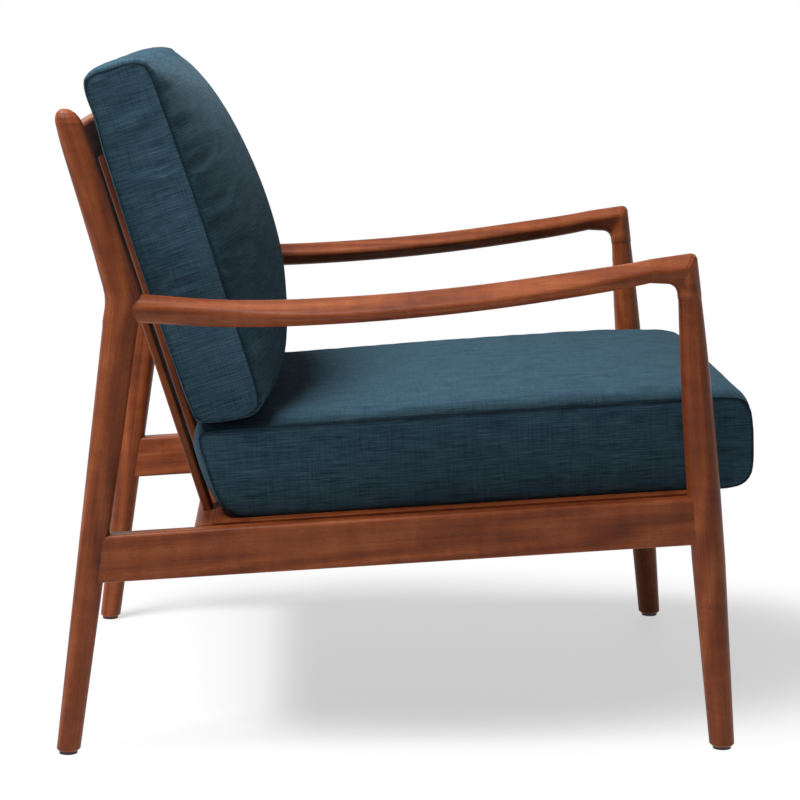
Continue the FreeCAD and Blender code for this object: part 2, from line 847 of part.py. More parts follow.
def back_section(x, fullness, inset):
    """The back cushion's outline at one place across. Depths run forward from the slats."""
    soft = back_corner_round
    seam_rear = cushion_rest_gap + inset + back_rear_crown
    rear = seam_rear - (back_rear_crown - back_rear_relief) * share_of(0.04, 1, fullness)
    front = cushion_rest_gap + back_rear_crown + back_side_depth - inset
    high = back_cushion_top - inset + back_top_crown * fullness
    foot_roll = share_of(soft, back_foot_roll, fullness)
    top_roll = share_of(soft, back_top_roll, fullness)
    foot_out = front + back_front_crown * 0.6 * fullness
    top_out = front - back_top_drop + back_front_crown * 0.28 * fullness
    full_front = front + back_front_crown * fullness + cushion_rest_gap

    def at(depth, z):
        return Vector(x, -depth, z)

    low_rear = at(seam_rear + soft, back_foot_z(seam_rear + soft, inset))
    low_front = at(foot_out - foot_roll, back_foot_z(foot_out - foot_roll, inset))
    foot_corner = at(foot_out, back_foot_z(foot_out, inset))
    front_low = at(foot_out, foot_corner.z + foot_roll)
    front_high = at(top_out, high - top_roll)
    top_front = at(top_out - top_roll, high)
    top_rear = at(seam_rear + soft, high)
    rear_high = at(seam_rear, high - soft)
    rear_low = at(seam_rear, back_foot_z(seam_rear, inset) + soft)
    edges = [
        line(low_rear, low_front),
        bend(low_front, foot_corner, front_low),
        curve(front_low, at(full_front, share_of(front_low.z, front_high.z, 0.45)), front_high),
        bend(front_high, at(top_out, high), top_front),
        line(top_front, top_rear),
        bend(top_rear, at(seam_rear, high), rear_high),
        curve(rear_high, at(rear, (rear_high.z + rear_low.z) / 2), rear_low),
        bend(rear_low, at(seam_rear, back_foot_z(seam_rear, inset)), low_rear),
    ]
    return Part.Wire(edges)


# share of the half width, fullness of the crown there
half_fullness_shares = ((1.0, 0.0), (0.88, 0.45), (0.55, 0.86))
fullness_shares = [(-share, fullness) for share, fullness in half_fullness_shares]
fullness_shares += [(0.0, 1.0)] + list(reversed(half_fullness_shares))


def cushion_body(section, inset):
    half_width = cushion_width / 2 - inset
    sections = [section(half_width * share, fullness, inset) for share, fullness in fullness_shares]
    return Part.makeLoft(sections, True, False)


def draw_in_sides(body, centre, axis, length, inset):
    """Pull the two side panels in between their corners, with a very large cylinder on each side."""
    radius = length * length / (8 * side_draw_in)
    for side in (-1, 1):
        offset = across * side * (cushion_width / 2 - inset - side_draw_in + radius)
        start = centre + offset - axis * length
        body = body.cut(Part.makeCylinder(radius, length * 2, start, axis))
    return body


def seat_cushion_body(inset):
    body = cushion_body(seat_section, inset)
    length = seat_front_reach + seat_back_reach
    centre = Vector(0, (seat_back_reach - seat_front_reach) / 2, 0)
    return draw_in_sides(body, centre, upward, length, inset)


def back_cushion_body(inset):
    body = cushion_body(back_section, inset)
    length = back_cushion_top - back_foot_height
    centre = Vector(0, 0, (back_cushion_top + back_foot_height) / 2)
    return draw_in_sides(body, centre, backward, length, inset)


def cushion_layers(body_of, zip_strip, frame):
    """Cover, fibre wrap and foam core, each hollowed out for the next, and the zip in the bottom panel."""
    wrap_inset = cover_thickness + layer_gap
    core_inset = wrap_inset + wrap_thickness + layer_gap
    cover = body_of(0).cut(body_of(cover_thickness)).cut(zip_strip)
    wrap = body_of(wrap_inset).cut(body_of(wrap_inset + wrap_thickness))
    core = body_of(core_inset)
    return [moved(piece, frame) for piece in (cover, wrap, core, zip_strip)]


def seat_zip():
    y = seat_back_reach - seat_rear_lean - zip_inset
    low = Vector(-zip_length / 2, y - zip_width, cushion_rest_gap)
    return bar(low, low + Vector(zip_length, zip_width, zip_thickness))


def back_zip():
    """The zip in the back cushion's underside, which lies at the seat's slope."""
    half = Vector(zip_length / 2, zip_width / 2, 0)
    block = bar(-half, half + upward * zip_thickness)
    depth = cushion_rest_gap + back_rear_crown + zip_inset
    turn = FreeCAD.Rotation(across, math.degrees(back_to_seat))
    return moved(block, FreeCAD.Placement(Vector(0, -depth, back_foot_z(depth, 0)), turn))


# Putting the chair together

pieces = {}


def add(name, shape):
    pieces[name] = shape


def add_both_sides(name, shape):
    add(name + "_right", shape)
    add(name + "_left", mirrored(shape))


def cut_all(shape, tools):
    for tool in tools:
        shape = shape.cut(tool)
    return shape


def both(shapes):
    return shapes + [mirrored(shape) for shape in shapes]


def glide_nail(foot):
    return peg(foot - upward * glide_thickness / 2, upward, nail_diameter, nail_length)


def foot_glide(foot):
    disc = peg(foot - upward * glide_thickness, upward, glide_diameter, glide_thickness)
    return disc.fuse(glide_nail(foot)).removeSplitter()


def build_side_frames(leg, post, crest_pegs, front_tenon, lower_pegs, rail_screws):
    """Legs, posts, arms and side rails of the right side, with their joints cut, then mirrored."""
    tenons = side_rail_tenons()
    peg_on_leg = leg_tenon()
    arm_peg = arm_dowel()
    rail = side_rail_blank().cut(leg).cut(post)
    for tenon in tenons:
        rail = rail.fuse(tenon.cut(rail))
    rail = cut_all(rail.removeSplitter(), lower_pegs + rail_screws)
    arm = cut_all(armrest_blank(), [post, leg, peg_on_leg, arm_peg])
    leg_done = leg.fuse(peg_on_leg).cut(tenons[0]).cut(front_tenon).cut(glide_nail(leg_foot))
    post_done = cut_all(post.cut(tenons[1]).cut(arm_peg).cut(glide_nail(post_foot)), crest_pegs)
    add_both_sides("front_leg", leg_done)
    add_both_sides("rear_post", post_done)
    add_both_sides("armrest", arm)
    add_both_sides("side_rail", rail)
    add("arm_dowels", Part.makeCompound(both([arm_peg])))
    add_both_sides("foot_glide_front", foot_glide(leg_foot))
    add_both_sides("foot_glide_rear", foot_glide(post_foot))


def build_back(posts, crest_pegs, lower_pegs):
    crest = cut_all(crest_rail_blank(), posts)
    lower = lower_back_rail_blank()
    tenons = [slat_tenon(x) for x in slat_places]
    for i, x in enumerate(slat_places):
        slat = slat_blank(x).cut(crest).cut(lower)
        add("back_slat_%d" % (i + 1), slat.fuse(tenons[i]).removeSplitter())
    add("crest_rail", cut_all(crest, tenons + crest_pegs))
    add("lower_back_rail", cut_all(lower, tenons + lower_pegs))
    add("crest_dowels", Part.makeCompound(crest_pegs))
    add("lower_back_dowels", Part.makeCompound(lower_pegs))


def build_deck(legs, deck_screw_set, cleat_screw_set, block_screw_set):
    dowels = deck_dowels()
    clips = staples()
    front, rear, right, left = deck_members()
    members = {"deck_front": front, "deck_rear": rear, "deck_side_right": right, "deck_side_left": left}
    for name, member in members.items():
        placed = moved(cut_all(member, dowels + clips + deck_screw_set), seat_frame)
        add(name, cut_all(placed, legs))
    for name, strap in straps().items():
        add(name, moved(cut_all(strap, clips), seat_frame))
    cleat = cut_all(deck_cleat(), deck_screw_set + cleat_screw_set)
    add_both_sides("deck_cleat", moved(cleat, seat_frame))
    for place, y, facing in (("front", block_front_y, 1), ("rear", block_rear_y, -1)):
        block = cut_all(corner_block(y, facing), block_screw_set)
        add_both_sides("corner_block_" + place, cut_all(moved(block, seat_frame), legs))
    add("webbing_staples", moved(Part.makeCompound(clips), seat_frame))
    add("deck_dowels", moved(Part.makeCompound(dowels), seat_frame))
    add("deck_screws", moved(Part.makeCompound(deck_screw_set), seat_frame))
    add("cleat_screws", moved(Part.makeCompound(cleat_screw_set), seat_frame))
    add("block_screws", moved(Part.makeCompound(block_screw_set), seat_frame))


def build_cushions():
    layers = {
        "seat_cushion": cushion_layers(seat_cushion_body, seat_zip(), seat_frame_on_deck),
        "back_cushion": cushion_layers(back_cushion_body, back_zip(), back_frame),
    }
    for name, (cover, wrap, core, zip_strip) in layers.items():
        add(name + "_cover", cover)
        add(name + "_wrap", wrap)
        add(name + "_core", core)
        add(name + "_zip", zip_strip)


seat_frame_on_deck = seat_frame.multiply(FreeCAD.Placement(upward * deck_proud, FreeCAD.Rotation()))


def build_chair():
    leg, post = front_leg_blank(), rear_post_blank()
    crest_pegs, lower_pegs = crest_dowels(), lower_back_dowels()
    front_tenon = front_rail_tenon()
    deck_screw_set, cleat_screw_set = both(deck_screws()), both(cleat_screws())
    block_screw_set = both(block_screws())
    rail_screws = [moved(screw, seat_frame) for screw in cleat_screw_set + block_screw_set]
    build_side_frames(leg, post, crest_pegs, front_tenon, lower_pegs, rail_screws)
    build_back([post, mirrored(post)], crest_pegs, lower_pegs)
    front_rail = cut_all(front_rail_blank(), [leg, mirrored(leg)])
    add("front_seat_rail", front_rail.fuse(front_tenon).removeSplitter())
    build_deck([leg, mirrored(leg)], deck_screw_set, cleat_screw_set, block_screw_set)
    build_cushions()


build_chair()
os.makedirs("parts", exist_ok=True)
for name, shape in pieces.items():
    shape.exportStep("parts/%s.step" % name)
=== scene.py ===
import math

import bpy
import numpy as np
from mathutils import Matrix, Vector


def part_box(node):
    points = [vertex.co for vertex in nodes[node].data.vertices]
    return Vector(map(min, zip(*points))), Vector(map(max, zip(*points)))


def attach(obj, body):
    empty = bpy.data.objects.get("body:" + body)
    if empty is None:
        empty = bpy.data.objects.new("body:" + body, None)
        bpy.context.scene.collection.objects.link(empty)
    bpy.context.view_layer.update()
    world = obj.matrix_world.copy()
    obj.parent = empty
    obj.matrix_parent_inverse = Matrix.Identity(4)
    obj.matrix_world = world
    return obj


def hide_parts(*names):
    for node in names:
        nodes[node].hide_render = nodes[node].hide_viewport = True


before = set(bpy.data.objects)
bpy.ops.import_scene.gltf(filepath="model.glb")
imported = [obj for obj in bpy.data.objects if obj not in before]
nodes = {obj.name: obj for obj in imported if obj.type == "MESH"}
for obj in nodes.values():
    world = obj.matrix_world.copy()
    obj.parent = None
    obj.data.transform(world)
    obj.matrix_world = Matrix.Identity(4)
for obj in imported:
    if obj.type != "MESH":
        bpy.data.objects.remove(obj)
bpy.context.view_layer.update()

# Rear posts, front legs, arms, rails and slats: solid hardwood, stained a reddish walnut brown and
# finished with a satin lacquer. Each piece is sawn along its length, so the grain runs that way.


def srgb(red, green, blue):
    """A colour as it looks on a screen, 0 to 255, as Blender's linear colour."""
    shares = (red / 255, green / 255, blue / 255)
    linear = [share / 12.92 if share <= 0.04045 else ((share + 0.055) / 1.055) ** 2.4 for share in shares]
    return (*linear, 1.0)


def add(tree, kind, sockets=None, **settings):
    """A shader node with its settings, and each socket linked or set."""
    made = tree.nodes.new(kind)
    for name, value in settings.items():
        setattr(made, name, value)
    for socket, value in (sockets or {}).items():
        if isinstance(value, bpy.types.NodeSocket):
            tree.links.new(value, made.inputs[socket])
        else:
            made.inputs[socket].default_value = value
    return made


def calc(tree, operation, first, second=0.0):
    return add(tree, "ShaderNodeMath", {0: first, 1: second}, operation=operation).outputs[0]


def weighted(tree, *parts):
    """The sum of values, each times its weight."""
    total = calc(tree, "MULTIPLY", *parts[0])
    for value, weight in parts[1:]:
        total = calc(tree, "ADD", total, calc(tree, "MULTIPLY", value, weight))
    return total


def blend_between(tree, low, high, value, bottom=0.0, top=1.0):
    sockets = {"Value": value, "From Min": low, "From Max": high, "To Min": bottom, "To Max": top}
    return add(tree, "ShaderNodeMapRange", sockets, interpolation_type="SMOOTHSTEP").outputs["Result"]


def stretched_noise(tree, place, stretch, detail=2.0, roughness=0.5):
    spot = add(tree, "ShaderNodeVectorMath", {0: place, 1: stretch}, operation="MULTIPLY").outputs[0]
    sockets = {"Vector": spot, "Scale": 1.0, "Detail": detail, "Roughness": roughness}
    return add(tree, "ShaderNodeTexNoise", sockets).outputs["Fac"]


def colour_steps(tree, value, steps):
    ramp = add(tree, "ShaderNodeValToRGB", {"Fac": value})
    band = ramp.color_ramp
    while len(band.elements) < len(steps):
        band.elements.new(0.5)
    for element, (position, colour) in zip(band.elements, steps):
        element.position = position
        element.color = colour
    return ramp.outputs["Color"]


def colour_mix(tree, share, first, second):
    mixed = add(tree, "ShaderNodeMix", {0: share}, data_type="RGBA")
    for socket, colour in (("A", first), ("B", second)):
        if isinstance(colour, bpy.types.NodeSocket):
            tree.links.new(colour, mixed.inputs[socket])
        else:
            mixed.inputs[socket].default_value = colour
    return mixed.outputs["Result"]


def shader_group(name, inputs, outputs):
    group = bpy.data.node_groups.new(name, "ShaderNodeTree")
    for socket, kind in inputs:
        group.interface.new_socket(name=socket, in_out="INPUT", socket_type="NodeSocket" + kind)
    for socket in outputs:
        group.interface.new_socket(name=socket, in_out="OUTPUT", socket_type="NodeSocketFloat")
    return group, group.nodes.new("NodeGroupInput").outputs, group.nodes.new("NodeGroupOutput")


def new_finish(name):
    """A new material, its node tree and its shader."""
    material = bpy.data.materials.new(name)
    material.use_nodes = True
    return material, material.node_tree, material.node_tree.nodes["Principled BSDF"]


def dress(tree, shader, colour, roughness, height, bump_strength, bump_depth, **constants):
    """Links the surface's colour, roughness and relief to its shader, and sets what is the same all over."""
    tree.links.new(colour, shader.inputs["Base Color"])
    tree.links.new(roughness, shader.inputs["Roughness"])
    relief = {"Strength": bump_strength, "Distance": bump_depth, "Height": height}
    tree.links.new(add(tree, "ShaderNodeBump", relief).outputs["Normal"], shader.inputs["Normal"])
    for socket, value in constants.items():
        shader.inputs[socket.replace("_", " ")].default_value = value


def place_on(tree):
    """The place on the chair, in metres."""
    return add(tree, "ShaderNodeTexCoord").outputs["Object"]


grain, grain_in, grain_out = shader_group(
    "figured_grain",
    [(name, "Float") for name in ("Along", "Wide", "Thick", "Knee", "Lean below", "Lean above")],
    ["Tone", "Pores", "Satin", "Height"],
)
past_knee = calc(grain, "SUBTRACT", grain_in["Along"], grain_in["Knee"])
lean_above = calc(grain, "MULTIPLY", calc(grain, "MAXIMUM", past_knee, 0.0), grain_in["Lean above"])
lean_below = calc(grain, "MULTIPLY", calc(grain, "MINIMUM", past_knee, 0.0), grain_in["Lean below"])
across = calc(grain, "SUBTRACT", calc(grain, "SUBTRACT", grain_in["Wide"], lean_above), lean_below)
in_log = {"X": grain_in["Along"], "Y": across, "Z": grain_in["Thick"]}
in_wood = add(grain, "ShaderNodeCombineXYZ", in_log).outputs[0]
growth = stretched_noise(grain, in_wood, (1.3, 13.0, 9.0), 1.5, 0.4)
ring_count = 11.0
rings = calc(grain, "PINGPONG", calc(grain, "MULTIPLY", growth, ring_count), 0.5)
rings = blend_between(grain, 0.02, 0.48, rings)
streaks = stretched_noise(grain, in_wood, (7.0, 300.0, 300.0), 3.0, 0.6)
curl = stretched_noise(grain, in_wood, (55.0, 20.0, 20.0), 2.0, 0.55)
cloud = stretched_noise(grain, in_wood, (4.0, 14.0, 14.0), 2.0, 0.5)
tone = weighted(grain, (rings, 0.2), (streaks, 0.36), (curl, 0.32), (cloud, 0.26))
grain.links.new(tone, grain_out.inputs["Tone"])
pores = blend_between(grain, 0.60, 0.70, stretched_noise(grain, in_wood, (120.0, 1500.0, 1500.0), 1.0))
grain.links.new(pores, grain_out.inputs["Pores"])
grain.links.new(calc(grain, "MULTIPLY_ADD", streaks, 0.5), grain_out.inputs["Satin"])
height = calc(grain, "SUBTRACT", calc(grain, "MULTIPLY", streaks, 0.5), pores)
grain.links.new(height, grain_out.inputs["Height"])


def wood(name, tones, along, wide, thick, knee=0.0, lean_below=0.0, lean_above=0.0, gloss=0.38, lacquer=0.08):
    """Wood sawn along one axis. The grain leans with the piece above and below its knee."""
    material, tree, shader = new_finish(name)
    axes = add(tree, "ShaderNodeSeparateXYZ", {0: place_on(tree)}).outputs
    figure = add(tree, "ShaderNodeGroup", node_tree=grain)
    for socket, axis in (("Along", along), ("Wide", wide), ("Thick", thick)):
        tree.links.new(axes[axis], figure.inputs[socket])
    for socket, value in (("Knee", knee), ("Lean below", lean_below), ("Lean above", lean_above)):
        figure.inputs[socket].default_value = value
    stain = colour_steps(tree, figure.outputs["Tone"], tones)
    pore_colour = tuple(0.35 * part for part in tones[0][1][:3]) + (1.0,)
    colour = colour_mix(tree, calc(tree, "MULTIPLY", figure.outputs["Pores"], 0.45), stain, pore_colour)
    roughness = blend_between(tree, 0.1, 0.9, figure.outputs["Satin"], gloss - 0.05, gloss + 0.09)
    dress(
        tree, shader, colour, roughness, figure.outputs["Height"], 0.12, 0.0003,
        Coat_Weight=lacquer, Coat_Roughness=0.2, IOR=1.42, Specular_IOR_Level=0.25,
    )
    return material


def finish_nodes(material, *starts):
    """Puts a material on the solids whose names start so."""
    for name, piece in nodes.items():
        if name.startswith(starts):
            for slot in piece.material_slots:
                slot.material = material


walnut = (
    (0.3, srgb(78, 31, 11)),
    (0.5, srgb(118, 55, 23)),
    (0.62, srgb(132, 65, 30)),
    (0.82, srgb(155, 85, 46)),
)
elbow_up, post_lean_below, post_lean_above = 0.529, -0.137, 0.301
leg_lean = 0.093
arm_bend, arm_fall = -0.15, 0.02
rail_rise = -0.06
slat_foot_up, slat_lean = 0.264, 0.317
post_wood = wood("stained_post", walnut, "Z", "Y", "X", elbow_up, post_lean_below, post_lean_above)
leg_wood = wood("stained_leg", walnut, "Z", "Y", "X", 0.0, 0.0, leg_lean)
arm_wood = wood("stained_arm", walnut, "Y", "Z", "X", arm_bend, -arm_fall, arm_fall)
side_rail_wood = wood("stained_side_rail", walnut, "Y", "Z", "X", 0.0, rail_rise, rail_rise)
cross_rail_wood = wood("stained_cross_rail", walnut, "X", "Z", "Y")
slat_wood = wood("stained_slat", walnut, "Z", "Y", "X", slat_foot_up, slat_lean, slat_lean)
finish_nodes(post_wood, "rear_post")
finish_nodes(leg_wood, "front_leg")
finish_nodes(arm_wood, "armrest")
finish_nodes(side_rail_wood, "side_rail")
finish_nodes(cross_rail_wood, "crest_rail", "lower_back_rail", "front_seat_rail")
finish_nodes(slat_wood, "back_slat")

# Deck frame, cleats, corner blocks and dowels: the frame is stained like the rails, because its edge shows
# under the cushion, and is dropped onto the cleats. Cleats, blocks and dowels are plain pale beech.
beech = (
    (0.3, srgb(170, 132, 92)),
    (0.52, srgb(196, 160, 118)),
    (0.7, srgb(206, 172, 130)),
    (0.85, srgb(216, 186, 146)),
)
long_beech = wood("beech_lengthwise", beech, "Y", "X", "Z", gloss=0.62, lacquer=0.0)
cross_beech = wood("beech_crosswise", beech, "X", "Y", "Z", gloss=0.62, lacquer=0.0)
finish_nodes(side_rail_wood, "deck_side")
finish_nodes(cross_rail_wood, "deck_front", "deck_rear")
finish_nodes(long_beech, "deck_cleat")
finish_nodes(cross_beech, "corner_block")
finish_nodes(cross_beech, "crest_dowels", "lower_back_dowels", "arm_dowels", "deck_dowels")

# Wood screws, webbing staples and foot glides: zinc-plated steel and black moulded nylon, driven into
# the wood. The screws hold the cleats, blocks and deck, and a glide is nailed under each foot.


def scuffed(name, colour, worn, metal, gloss, grit):
    """A plain hard finish, worn in fine clouds."""
    material, tree, shader = new_finish(name)
    cloud = stretched_noise(tree, place_on(tree), (grit, grit, grit), 3.0, 0.6)
    worn_colour = colour_steps(tree, cloud, ((0.35, colour), (0.7, worn)))
    roughness = blend_between(tree, 0.3, 0.7, cloud, gloss, gloss + 0.2)
    dress(tree, shader, worn_colour, roughness, cloud, 0.2, 0.0001, Metallic=metal)
    return material


steel = scuffed("zinc_plated_steel", srgb(176, 178, 180), srgb(138, 140, 142), 1.0, 0.28, 900.0)
nylon = scuffed("black_nylon", srgb(24, 23, 23), srgb(52, 50, 48), 0.0, 0.5, 500.0)
finish_nodes(steel, "deck_screws", "cleat_screws", "block_screws", "webbing_staples")
finish_nodes(nylon, "foot_glide")

# Webbing straps: woven black elastic tape with a light stripe near each edge, pulled tight over the
# deck frame, the long straps over the cross straps, and stapled at both ends.
rib_pitch, cord_pitch = 0.0024, 0.0032
stripe_from_middle, stripe_half = 0.0155, 0.0022


def strap_tape(name, along, wide, middle):
    """Tape whose ribs run across it, with its stripes set out from its middle line."""
    material, tree, shader = new_finish(name)
    axes = add(tree, "ShaderNodeSeparateXYZ", {0: place_on(tree)}).outputs
    ribs = calc(tree, "SINE", calc(tree, "MULTIPLY", axes[along], 2 * math.pi / rib_pitch))
    cords = calc(tree, "SINE", calc(tree, "MULTIPLY", axes[wide], 2 * math.pi / cord_pitch))
    from_middle = calc(tree, "ABSOLUTE", calc(tree, "SUBTRACT", axes[wide], middle))
    stripe_at = {0: from_middle, 1: stripe_from_middle, 2: stripe_half}
    stripe = add(tree, "ShaderNodeMath", stripe_at, operation="COMPARE").outputs[0]
    colour = colour_mix(tree, stripe, srgb(33, 33, 36), srgb(150, 142, 126))
    height = calc(tree, "MULTIPLY", ribs, cords)
    roughness = blend_between(tree, -1.0, 1.0, height, 0.86, 0.7)
    dress(tree, shader, colour, roughness, height, 0.5, 0.0004)
    return material


for name in nodes:
    if name.startswith("strap_"):
        low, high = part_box(name)
        along, wide = ("Y", "X") if name.startswith("strap_long") else ("X", "Y")
        wide_axis = "XYZ".index(wide)
        middle = (low[wide_axis] + high[wide_axis]) / 2
        finish_nodes(strap_tape(name + "_tape", along, wide, middle), name)

# Cushion cover cloth: a petrol blue upholstery weave with slubs in both threads, cut in panels. Each
# panel keeps its own thread direction, which the cover meshes carry as panel_place, in metres.
thread_pitch = 0.0013
weave, weave_in, weave_out = shader_group("slub_weave", [("Panel place", "Vector")], ["Tone", "Height"])
panel = weave_in["Panel place"]
weft = stretched_noise(weave, panel, (22.0, 620.0, 1.0), 2.0, 0.65)
warp = stretched_noise(weave, panel, (620.0, 20.0, 1.0), 2.0, 0.65)
patch = stretched_noise(weave, panel, (26.0, 60.0, 1.0), 3.0, 0.6)
weft_slub = blend_between(weave, 0.5, 0.74, stretched_noise(weave, panel, (48.0, 760.0, 1.0), 2.0, 0.6))
warp_slub = blend_between(weave, 0.54, 0.76, stretched_noise(weave, panel, (760.0, 55.0, 1.0), 2.0, 0.6))
parts = add(weave, "ShaderNodeSeparateXYZ", {0: panel}).outputs
over = calc(weave, "SINE", calc(weave, "MULTIPLY", parts["X"], 2 * math.pi / thread_pitch))
under = calc(weave, "SINE", calc(weave, "MULTIPLY", parts["Y"], 2 * math.pi / thread_pitch))
knots = calc(weave, "MULTIPLY", over, under)
threads = weighted(weave, (weft, 0.52), (warp, 0.24), (patch, 0.24))
slubs = weighted(weave, (weft_slub, 0.11), (warp_slub, 0.05))
thickness = calc(weave, "ADD", threads, slubs)
weave.links.new(calc(weave, "SUBTRACT", thickness, 0.02), weave_out.inputs["Tone"])
weave.links.new(calc(weave, "ADD", calc(weave, "MULTIPLY", knots, 0.3), thickness), weave_out.inputs["Height"])

petrol, tree, shader = new_finish("petrol_upholstery")
panel = add(tree, "ShaderNodeAttribute", attribute_name="panel_place").outputs["Vector"]
seam = add(tree, "ShaderNodeAttribute", attribute_name="painted_seam_and_band_shade").outputs["Fac"]
cloth = add(tree, "ShaderNodeGroup", node_tree=weave)
tree.links.new(panel, cloth.inputs["Panel place"])
dye = (
    (0.36, srgb(37, 58, 71)),
    (0.5, srgb(56, 83, 98)),
    (0.6, srgb(67, 95, 109)),
    (0.74, srgb(91, 121, 133)),
)
dyed = colour_steps(tree, cloth.outputs["Tone"], dye)
# Painted shade: the cloth darkens towards this near-black blue in each seam groove and, on the seat, in a soft
# band beside the seams.
painted_shade_colour = srgb(14, 22, 28)
colour = colour_mix(tree, calc(tree, "MULTIPLY", seam, 0.85), dyed, painted_shade_colour)
roughness = blend_between(tree, 0.2, 0.8, cloth.outputs["Tone"], 0.92, 0.8)
dress(
    tree, shader, colour, roughness, cloth.outputs["Height"], 0.55, 0.0007,
    Specular_IOR_Level=0.08, Sheen_Weight=0.24, Sheen_Roughness=0.32, Sheen_Tint=srgb(150, 176, 188), IOR=1.4,
)

# Seat cushion: a foam block in a fibre wrap and a zipped cover. One long panel wraps over the top, front,
# bottom and rear, and two side panels with rounded corners are sewn into its edges without piping.
beside_seam = np.array([0.0, 1.5, 4.0, 8.0])


def spaced(length, step):
    """Shares from 0 to 1 along a length: rows close to the seams at both ends, even steps between them."""
    between = max(2, round((length - 2 * beside_seam[-1]) / step))
    middle = np.linspace(beside_seam[-1], length - beside_seam[-1], between + 1)
    return np.concatenate([beside_seam[:-1], middle, length - beside_seam[:-1][::-1]]) / length


def through(points, corners, per_span=12):
    """A smooth closed line through points, as dense rows, and the row of each corner point."""
    points = np.array(points, float)
    count = len(points)
    rows, marks = [], {}
    for index in range(count):
        if index in corners:
            marks[index] = len(rows)
        before, start, end, after = (points[(index + shift) % count] for shift in (-1, 0, 1, 2))
        spans = ((before, start), (start, end), (end, after))
        gaps = [max(np.linalg.norm(b[:2] - a[:2]), 1e-6) ** 0.5 for a, b in spans]
        leave = (start - before) / gaps[0] - (end - before) / (gaps[0] + gaps[1]) + (end - start) / gaps[1]
        reach = (end - start) / gaps[1] - (after - start) / (gaps[1] + gaps[2]) + (after - end) / gaps[2]
        leave, reach = leave * gaps[1], reach * gaps[1]
        for share in np.arange(per_span) / per_span:
            a, b = share * share, share * share * share
            on_start, on_end = 2 * b - 3 * a + 1, 3 * a - 2 * b
            rows.append(on_start * start + (b - 2 * a + share) * leave + on_end * end + (b - a) * reach)
    return np.array(rows), [marks[index] for index in corners]


def shares_along(rows, shares):
    """Points of a line of dense rows at shares of its length, and that length."""
    steps = np.linalg.norm(np.diff(rows[:, :2], axis=0), axis=1)
    run = np.concatenate([[0.0], np.cumsum(steps)])
    columns = [np.interp(shares * run[-1], run, rows[:, column]) for column in range(rows.shape[1])]
    return np.array(columns).T, run[-1]


